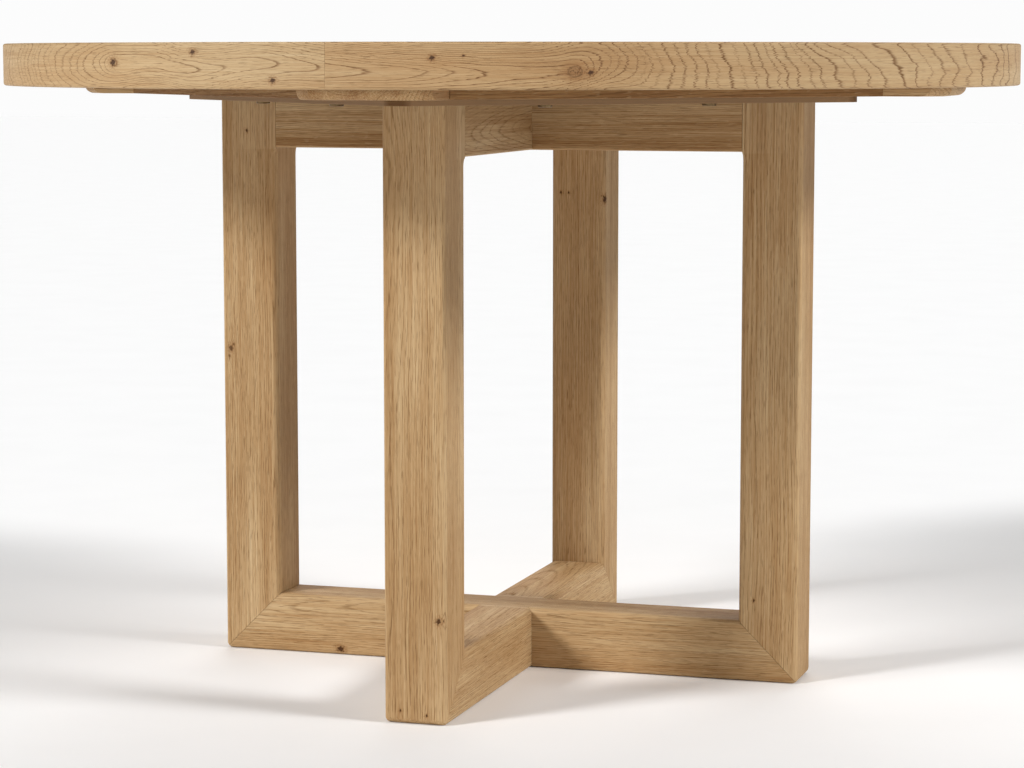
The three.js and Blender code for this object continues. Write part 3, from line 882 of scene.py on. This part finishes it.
FOOT_TONE = 0.3
LEG_TONES = {"right": -0.5, "back": -0.1, "left": 0.2, "front": -0.1}
TOP_RAIL_TONE = -1.0

TAN = srgb(191, 161, 119)
GOLD = srgb(184, 149, 105)
HONEY = srgb(180, 144, 98)
UMBER = srgb(115, 75, 36)
BROWN = srgb(130, 94, 54)

band_palette = (TAN, UMBER, GOLD)
oak_band = oak("oak_band", band_palette, front_rim_knots, wander=0.0055, ripple=0.0015, line=0.2,
               figure=1.0, streak=0.5)
oak_band_pale = oak("oak_band_pale", band_palette, left_rim_knots, wander=0.005, ripple=0.0014, line=0.22,
                    figure=0.62, streak=0.6)
frame_palette = (srgb(189, 157, 115), srgb(132, 96, 56), srgb(176, 141, 98))
oak_frame = oak("oak_frame", frame_palette, frame_knots, ring=0.0019, ripple=0.0006, line=0.4, figure=0.24,
                streak=0.8, gloss=0.56, sheen=0.15)
oak_rail = oak("oak_rail", frame_palette, ring=0.0024, ripple=0.0007, line=0.34, figure=0.5,
               gloss=0.56, sheen=0.12)
oak_foot = oak("oak_foot", frame_palette, frame_knots, ripple=0.0008, line=0.4, figure=0.24, streak=0.8,
               gloss=0.5, sheen=0.12)
oak_top = oak("oak_top", band_palette, ring=0.0026, wander=0.012, line=0.22, figure=0.5, streak=0.7,
              gloss=0.42)
# the corner battens' oak is darkened to paint the shade under the top
shaded_batten_palette = (srgb(156, 119, 74), srgb(105, 73, 40), srgb(147, 110, 65))
oak_batten = oak("oak_batten", shaded_batten_palette, ring=0.0030, line=0.4, gloss=0.6)
# a paler copy for the cross battens, painting the light on their ends near the rim
batten_oak_painted_lit = oak("batten_oak_painted_lit", (GOLD, BROWN, HONEY), ring=0.0030, line=0.4, gloss=0.6)
packer_wood = oak("packer_wood", (HONEY, BROWN, HONEY), ring=0.0034, line=0.4, gloss=0.66)
beech_palette = (srgb(205, 168, 124), srgb(178, 134, 92), srgb(197, 157, 113))
beech = oak("beech", beech_palette, ring=0.0030, line=0.5, figure=0.3, streak=0.5)
board_wood = plywood("board_wood")
zinc_steel = metal("zinc_steel", srgb(130, 109, 79), srgb(106, 86, 60), 0.46)
brass = metal("brass", srgb(200, 164, 92), srgb(160, 126, 66), 0.36)


# ---- The top ----

def band_section():
    """The band's section in distance from the axis and height, its two outer corners rounded."""
    points = [(band_inner, edge_bottom)]
    for centre, start in ((edge_bottom + BAND_ROUNDING, -QUARTER), (table_height - BAND_ROUNDING, 0.0)):
        for turn in ARRIS_TURNS:
            distance = rim_radius - BAND_ROUNDING * (1 - math.cos(start + turn))
            points.append((distance, centre + BAND_ROUNDING * math.sin(start + turn)))
    return points + [(band_inner, table_height)]


def edge_band(index):
    span = 2 * math.pi / BAND_PIECES
    start = BAND_SEAM + index * span + BUTT_GAP / 2 / band_inner
    end = start + span - BUTT_GAP / band_inner
    rings = [[(c * r, s * r, z) for r, z in band_section()] for c, s in arc(1.0, start, end)]
    mesh = worked(solid(rings), ease=BAND_EASE)
    material = (oak_band, oak_band, oak_band_pale)[index]
    wooden(f"edge_band_{index + 1}", mesh, band_logs[index], material)


def top_board(index):
    width = (2 * board_radius - (TOP_BOARDS - 1) * GAP) / TOP_BOARDS
    near = -board_radius + index * (width + GAP)
    start, end = (math.asin(max(-1.0, min(1.0, y / board_radius))) for y in (near, near + width))
    outline = arc(board_radius, start, end) + arc(board_radius, math.pi - end, math.pi - start)
    if index == 0:
        outline = arc(board_radius, -math.pi - end, end)
    if index == TOP_BOARDS - 1:
        outline = arc(board_radius, start, math.pi - start)
    mesh = worked(prism(outline, board_bottom, table_height), ease=BOARD_EASE)
    centre = (0, near + width / 2, (board_bottom + table_height) / 2)
    pith = (dice.uniform(-0.05, 0.05), dice.choice((-1, 1)) * dice.uniform(0.03, 0.10))
    tilt = (dice.uniform(-0.02, 0.02), dice.uniform(-0.03, 0.03))
    half = (1.0, width / 2, (table_height - board_bottom) / 2)
    log = Log(centre, ALONG_X, straight(pith, tilt), 50 + LOG_SPACING * index, half)
    wooden(f"top_board_{index + 1}", mesh, log, oak_top, tone=dice.uniform(-1.6, 1.2))


def edge_packer(index):
    span = 2 * math.pi / PACKER_PIECES
    slack = GAP / 2 / board_radius
    start, end = index * span + slack, (index + 1) * span - slack
    outline = arc(board_radius, start, end) + arc(board_radius - PACKER_WIDTH, end, start)
    mesh = worked(prism(outline, edge_bottom, board_bottom - GAP), ease=PACKER_EASE)
    middle = (start + end) / 2
    outward = (math.cos(middle), math.sin(middle), 0)
    centre = (board_radius * outward[0], board_radius * outward[1], (edge_bottom + board_bottom) / 2)
    course = straight((0.04, dice.uniform(-0.08, 0.08)), (0.02, 0.02))
    log = Log(centre, ((-outward[1], outward[0], 0), outward), course, 80 + LOG_SPACING * index)
    wooden(f"edge_packer_{index + 1}", mesh, log, packer_wood)


# ---- The battens ----

def batten_outline(inset):
    """A cross batten's plan, its ends and nipped corners drawn in by inset."""
    reach = batten_reach - inset
    shoulder = batten_half - BATTEN_NIP - inset * (math.sqrt(2) - 1)
    nip = batten_reach - BATTEN_NIP - inset * math.sqrt(2)
    right = [(nip, -batten_half), (reach, -shoulder), (reach, shoulder), (nip, batten_half)]
    return right + [(-x, -y) for x, y in right]


def batten_log(centre, axes, course, shift, half):
    return Log(centre, axes, course, shift, (*half, (batten_high.z - batten_low.z) / 2), BATTEN_EASE)


def screw_bore(x, y):
    bottom = batten_low.z - HOLE_MARGIN
    return rod(BATTEN_SCREW_BORE, bottom, batten_low.z + BATTEN_SCREW_DEPTH, x, y)


def batten_screw(name, x, y, turn):
    """A cross-slotted screw, its head at the end of its bore."""
    seat = batten_low.z + BATTEN_SCREW_DEPTH - GAP
    head = BATTEN_SCREW_HEAD / 2
    crown = [(head * share, seat - rise) for share, rise in BATTEN_SCREW_CROWN]
    slot = cross_slot(*BATTEN_SCREW_SLOT, seat - BATTEN_SCREW_DEPTH, seat - BATTEN_SLOT_FLOOR, x, y)
    mesh = worked(lathe(crown, x, y), cutters=slot, ease=METAL_EASE)
    piece(name, mesh, None, zinc_steel, turn)


def cross_batten(letter, halved_from_above, turn):
    bottom, top = batten_low.z, batten_high.z
    rings = []
    for angle in ARRIS_TURNS:
        inset = BATTEN_ROUNDING * (1 - math.sin(angle))
        height = bottom + BATTEN_ROUNDING * (1 - math.cos(angle))
        rings.append([(x, y, height) for x, y in batten_outline(inset)])
    rings.append([(x, y, top) for x, y in batten_outline(0.0)])
    screws = [(side * x, y) for side in (-1, 1) for x, y in ARM_SCREWS]
    notch = lap_block(batten_half + GAP, bottom, top, halved_from_above)
    mesh = worked(solid(rings), cutters=[notch, *(screw_bore(x, y) for x, y in screws)], ease=BATTEN_EASE)
    course = straight((0.01, 0.06), (0.0, 0.04))
    half = (batten_reach, batten_half)
    log = batten_log((0, 0, (bottom + top) / 2), ALONG_X, course, 110 + LOG_SPACING * turn, half)
    wooden(f"cross_batten_{letter}", mesh, log, batten_oak_painted_lit, turn * QUARTER)
    for number, (x, y) in enumerate(screws):
        batten_screw(f"batten_screw_{letter}_{number + 1}", x, y, turn * QUARTER)


def corner_batten(side):
    bottom, top = batten_low.z, batten_high.z
    inner = corner_outer - CORNER_BATTEN_WIDTH
    flank = (batten_half + GAP) * math.sqrt(2)
    outline = [
        (inner, flank - inner),
        (corner_outer, flank - corner_outer),
        (corner_outer, corner_outer - flank),
        (inner, inner - flank),
    ]
    turn = QUARTER / 2 + side * QUARTER
    hole_top = bottom + INSERT_HOLE_DEPTH
    bores = [rod(INSERT_HOLE, bottom - HOLE_MARGIN, hole_top, x, y) for x, y in bolt_places]
    screws = [(corner_outer - CORNER_SCREW_INSET, half * CORNER_SCREW_SPREAD) for half in (-0.5, 0.5)]
    bores += [screw_bore(x, y) for x, y in screws]
    mesh = worked(prism(outline, bottom, top), cutters=bores, ease=BATTEN_EASE)
    centre = ((corner_outer + inner) / 2, 0, (bottom + top) / 2)
    course = straight((0.02, dice.uniform(0.03, 0.09)), (0.0, 0.03))
    log = batten_log(centre, ((0, 1, 0), (-1, 0, 0)), course, 120 + LOG_SPACING * side, (1.0, 1.0))
    wooden(f"corner_batten_{side + 1}", mesh, log, oak_batten, turn)
    for number, (x, y) in enumerate(screws):
        batten_screw(f"batten_screw_c_{side * 2 + number + 1}", x, y, turn)
    for place, (x, y) in enumerate(bolt_places):
        number = side * 2 + place + 1
        thread_insert(number, x, y, turn)
        board_bolt(number, x, y, turn)


def thread_insert(number, x, y, turn):
    """A ribbed brass sleeve with a bore for the bolt."""
    bottom, top = batten_low.z + GAP, batten_low.z + INSERT_LENGTH
    profile = [(INSERT_NOSE, bottom), (RIB_RADIUS, bottom + INSERT_CHAMFER)]
    pitch = (top - bottom - 2 * INSERT_END) / INSERT_RIBS
    for rib in range(INSERT_RIBS):
        start = bottom + INSERT_END + rib * pitch
        profile += [(radius, start + share * pitch) for radius, share in RIB]
    profile.append((INSERT_RIM, top))
    bore = rod(INSERT_BORE, bottom - HOLE_MARGIN, top + HOLE_MARGIN, x, y)
    mesh = worked(lathe(profile, x, y, sides=40), cutters=[bore], ease=METAL_EASE)
    piece(f"thread_insert_{number}_brass", mesh, f"thread_insert_{number}", brass, turn)


def board_bolt(number, x, y, turn):
    """A low-headed bolt with a hexagon socket and a threaded shank."""
    top = mount_low.z - GAP
    bottom = top - BOLT_HEAD_HEIGHT
    head = BOLT_HEAD / 2
    profile = [(head - inset, bottom + height) for inset, height in BOLT_CROWN]
    profile += [(head, top), (SHANK_RADIUS, top)]
    for thread in range(BOLT_THREADS):
        start = top + BOLT_SMOOTH + thread * BOLT_PITCH
        profile += [(SHANK_RADIUS, start), (THREAD_ROOT, start + BOLT_PITCH / 2)]
    profile.append((BOLT_TIP, top + BOLT_LENGTH))
    socket = rod(BOLT_SOCKET, bottom - HOLE_MARGIN, bottom + BOLT_SOCKET_DEPTH, x, y, sides=6)
    mesh = worked(lathe(profile, x, y, sides=40), cutters=[socket], ease=METAL_EASE)
    piece(f"board_bolt_{number}_steel", mesh, f"board_bolt_{number}", zinc_steel, turn)


# ---- The mounting board ----

def mounting_board():
    side = MOUNT_REACH * math.sqrt(2)
    outline = rounded_outline(side, side, [MOUNT_CORNER] * 4)
    cutters = []
    for quarter in range(4):
        for x, y in bolt_places:
            hole = rod(BOLT_HOLE, mount_low.z - HOLE_MARGIN, mount_high.z + HOLE_MARGIN, x, y)
            cutters.append(turned(hole, quarter * QUARTER))
        cutters.append(turned(leg_screw_shape(GAP), quarter * QUARTER - QUARTER / 2))
    mesh = worked(prism(outline, mount_low.z, mount_high.z), cutters=cutters, ease=MOUNT_EASE)
    half = (side / 2, side / 2, (mount_high.z - mount_low.z) / 2)
    middle = (mount_low.z + mount_high.z) / 2
    log = Log((0, 0, middle), ALONG_X, straight((0, 0)), half=half, reach=MOUNT_EASE)
    wooden("mounting_board", mesh, log, board_wood, QUARTER / 2)


def leg_screw_shape(clearance, threaded=False):
    """The countersunk screw from the mounting board into the +X leg, or its hole."""
    top = mount_high.z
    shank, head = LEG_SCREW_SHANK / 2 + clearance, LEG_SCREW_HEAD / 2 + clearance
    tip = top - LEG_SCREW_LENGTH - clearance
    profile = [(LEG_SCREW_POINT, tip)]
    if threaded:
        for thread in range(LEG_SCREW_THREADS):
            start = tip + 0.004 + thread * LEG_SCREW_PITCH
            size = min(1.0, 0.5 + thread * 0.2)
            root = shank * size * LEG_SCREW_ROOT
            profile += [(shank * size, start), (root, start + LEG_SCREW_PITCH / 2)]
    else:
        profile.append((shank, tip + LEG_SCREW_TAPER))
    profile += [(shank, top - LEG_SCREW_SINK), (head, top)]
    if not threaded:
        profile.append((head, top + HOLE_MARGIN))
    return lathe(profile, leg_centre + LEG_SCREW_OFFSET)


def leg_screw(name, turn):
    top = mount_high.z
    x = leg_centre + LEG_SCREW_OFFSET
    slot = cross_slot(*LEG_SCREW_SLOT, top - LEG_SLOT_DEPTH, top + HOLE_MARGIN, x)
    mesh = worked(leg_screw_shape(0.0, True), cutters=slot, ease=METAL_EASE)
    piece(f"leg_screw_{name}_steel", mesh, f"leg_screw_{name}", zinc_steel, turn)


# ---- The frames ----

def mitre_cutter(above):
    """Everything on one side of the mitre plane at the foot of the +X leg."""
    size = 3 * section
    low = 0.0 if above else -size
    cutter = block((-size, -size, low), (size, size, low + size))
    turned(cutter, QUARTER / 2, "Y")
    slack = (-1 if above else 1) * GAP / 2 * math.sqrt(0.5)
    return moved(cutter, leg_centre + slack, 0, section / 2 + slack)


def mitre_tenon_shape(clearance):
    length, width, thickness = (size / 2 + clearance for size in MITRE_TENON)
    shape = turned(block((-length, -width, -thickness), (length, width, thickness)), -QUARTER / 2, "Y")
    return moved(shape, leg_centre, 0, section / 2)


def rail_tenon_shape(clearance, turn=0.0):
    length, width, height = RAIL_TENON
    middle = (top_rail_low.z + mount_low.z) / 2
    low = (leg_low.x - section / 4, -width / 2 - clearance, middle - height / 2 - clearance)
    high = (leg_low.x + length + clearance, width / 2 + clearance, middle + height / 2 + clearance)
    return turned(block(low, high), turn)


def rounded_end():
    """How far the frame's outer arris draws in at each distance from an end."""
    return [(FOOT_CORNER * (1 - math.cos(a)), FOOT_CORNER * (1 - math.sin(a))) for a in ARRIS_TURNS]


def leg(name, turn):
    """A leg at +X: its outline runs up, and the opening's roundings stop under the top rail."""
    stop_start = top_rail_low.z - STOP_DROP - STOP_LENGTH
    levels = [(height, inset, OPENING_ARRIS) for height, inset in rounded_end()]
    levels.append((stop_start, 0.0, OPENING_ARRIS))
    for step in range(1, STOP_STEPS + 1):
        share = step / STOP_STEPS
        radius = SHARP_ARRIS + (OPENING_ARRIS - SHARP_ARRIS) * math.sqrt(1 - share * share)
        levels.append((stop_start + share * STOP_LENGTH, 0.0, radius))
    levels.append((leg_high.z, 0.0, SHARP_ARRIS))
    rings = []
    for height, inset, opening in levels:
        outer = max(SHARP_ARRIS, OUTER_ARRIS - inset)
        size = section - 2 * inset
        outline = rounded_outline(size, size, (opening, outer, outer, opening))
        rings.append([(leg_centre + x, y, height) for x, y in outline])
    cutters = [mitre_cutter(False), mitre_tenon_shape(GAP), rail_tenon_shape(GAP), leg_screw_shape(GAP)]
    mesh = worked(solid(rings), cutters=cutters)
    wooden(f"leg_{name}", mesh, frame_logs[f"leg_{name}"], oak_frame, turn, LEG_TONES[name])
    tenon = worked(mitre_tenon_shape(0.0), ease=TENON_EASE)
    axes = ((math.sqrt(0.5), 0, math.sqrt(0.5)), (0, 1, 0))
    course = straight((0.03, 0.05), (0.0, 0.02))
    log = Log((leg_centre, 0, section / 2), axes, course, 140 + turn)
    wooden(f"mitre_tenon_{name}", tenon, log, beech, turn)
    leg_screw(name, turn)


def lap(outline, bottom, top, from_above):
    """The cutter for a half-lap, and the part of the crossing rail's shape that fills its other half.

    The filling carries this rail's flush face across the lap, with the crossing rail's own roundings, so the
    roundings of both rails meet in a valley.
    """
    cutter = lap_block(section / 2 + GAP, bottom, top, from_above)
    keep = lap_block(MARGIN, bottom, top, from_above)
    crossing = turned(beam(outline, -section / 2, section / 2), QUARTER)
    modify(crossing, "BOOLEAN", operation="DIFFERENCE", solver="EXACT", object=keep)
    mesh = modified_mesh(crossing)
    crossing.modifiers.clear()
    crossing.data = mesh
    bpy.data.objects.remove(keep)
    return cutter, crossing


def rail_outline(bottom, top, lower, upper):
    middle = (bottom + top) / 2
    outline = rounded_outline(section, top - bottom, (lower, lower, upper, upper))
    return [(y, z + middle) for y, z in outline]


def foot_bar():
    """The foot rail before its mitres, with its outer arris run round both ends."""
    rings = []
    for distance, inset in rounded_end():
        outer = max(SHARP_ARRIS, OUTER_ARRIS - inset)
        size = section - 2 * inset
        outline = rounded_outline(size, size, (outer, outer, OPENING_ARRIS, OPENING_ARRIS))
        rings.append([(distance - frame_reach, y, z + section / 2) for y, z in outline])
    return solid(rings + [[(-x, y, z) for x, y, z in ring] for ring in reversed(rings)])


def foot_rail(letter, halved_from_above, turn):
    outline = rail_outline(0.0, section, OUTER_ARRIS, OPENING_ARRIS)
    cutter, filling = lap(outline, 0.0, section, halved_from_above)
    cutters = [cutter]
    for end in (0.0, math.pi):
        cutters += [turned(mitre_cutter(True), end), turned(mitre_tenon_shape(GAP), end)]
    mesh = worked(foot_bar(), [filling], cutters)
    name = f"foot_rail_{letter}"
    wooden(name, mesh, frame_logs[name], oak_foot, turn, FOOT_TONE)


def top_rail(letter, halved_from_above, turn):
    bottom, top = top_rail_low.z, top_rail_high.z
    outline = rail_outline(bottom, top, RAIL_ARRIS, SHARP_ARRIS)
    cutter, filling = lap(outline, bottom, top, halved_from_above)
    reach = leg_low.x - GAP
    additions = [filling, rail_tenon_shape(0.0), rail_tenon_shape(0.0, math.pi)]
    mesh = worked(beam(outline, -reach, reach), additions, [cutter])
    name = f"top_rail_{letter}"
    wooden(name, mesh, frame_logs[name], oak_rail, turn, TOP_RAIL_TONE)


# ---- Everything ----

for number in range(TOP_BOARDS):
    top_board(number)
for number in range(PACKER_PIECES):
    edge_packer(number)
for number in range(BAND_PIECES):
    edge_band(number)
cross_batten("a", True, 0)
cross_batten("b", False, 1)
for number in range(4):
    corner_batten(number)
mounting_board()
for name, quarter in quarters.items():
    leg(name, quarter * QUARTER)
for letter, halved, turn in (("a", False, 0.0), ("b", True, QUARTER)):
    foot_rail(letter, halved, turn)
    top_rail(letter, halved, turn)


# ---- Floor, light and camera ----

FLOOR_SIZE = 60.0
FLOOR_DROP = 0.0004
BACKDROP = 0.975
DOME = 0.075
HORIZON = (0.02, 0.08)  # heights between which the backdrop gives way to the dome
# Suns: azimuth, elevation, strength and softness
SUNS = {
    "key": (43, 30, 2.31, 13),
    "side": (-87, 33, 1.92, 15),
    "front": (-10, 14, 0.33, 70),
    "back": (170, 38, 1.15, 40),
}


def floor():
    bpy.ops.mesh.primitive_plane_add(size=FLOOR_SIZE, location=(0, 0, -FLOOR_DROP))
    plane = bpy.context.object
    plane.name = "floor"
    material, tree, shader = new_material("pale_floor")
    point = tree.node("ShaderNodeTexCoord").outputs["Object"]
    speck = tree.noise(point, detail=4.0, scale=6.0)
    tree.link(tree.mix(speck, srgb(246, 246, 246), srgb(251, 251, 251)), shader.inputs["Base Color"])
    shader.inputs["Roughness"].default_value = 0.9
    plane.data.materials.append(material)


def sun(name, azimuth, elevation, strength, softness):
    """Light from an azimuth left of the front, in degrees, and a height above the horizon."""
    data = bpy.data.lights.new(name, "SUN")
    data.energy = strength
    data.angle = math.radians(softness)
    light = bpy.data.objects.new(name, data)
    turn, rise = math.radians(azimuth), math.radians(elevation)
    source = Vector((-math.sin(turn) * math.cos(rise), -math.cos(turn) * math.cos(rise), math.sin(rise)))
    light.rotation_euler = source.to_track_quat("Z", "Y").to_euler()
    bpy.context.scene.collection.objects.link(light)


def studio():
    """A dim dome before a white backdrop, and four soft suns."""
    world = bpy.data.worlds.new("studio")
    world.use_nodes = True
    tree = Tree(world.node_tree)
    direction = tree.separate(tree.node("ShaderNodeTexCoord").outputs["Generated"])
    height = tree.math("ABSOLUTE", direction[2])
    background = world.node_tree.nodes["Background"]
    seen = tree.node("ShaderNodeLightPath").outputs["Is Camera Ray"]
    strength = tree.step(height, *HORIZON, BACKDROP, DOME)
    strength = tree.math("MAXIMUM", strength, tree.times(seen, BACKDROP))
    tree.link(strength, background.inputs["Strength"])
    background.inputs["Color"].default_value = (1.0, 1.0, 1.0, 1.0)
    bpy.context.scene.world = world
    for name, settings in SUNS.items():
        sun(name, *settings)


def camera():
    """Just below the top's height, turned 17 degrees from the front and tipped a little down."""
    azimuth, distance, height = math.radians(17.21), 3.605, 0.765
    tip = math.radians(6.51)
    data = bpy.data.cameras.new("camera")
    data.lens = 101.0
    data.sensor_width = 36.0
    obj = bpy.data.objects.new("camera", data)
    obj.location = (distance * math.sin(azimuth), -distance * math.cos(azimuth), height)
    obj.rotation_euler = (QUARTER - tip, 0, azimuth)
    bpy.context.scene.collection.objects.link(obj)
    bpy.context.scene.camera = obj


floor()
studio()
camera()
bpy.context.scene.view_settings.view_transform = "Standard"
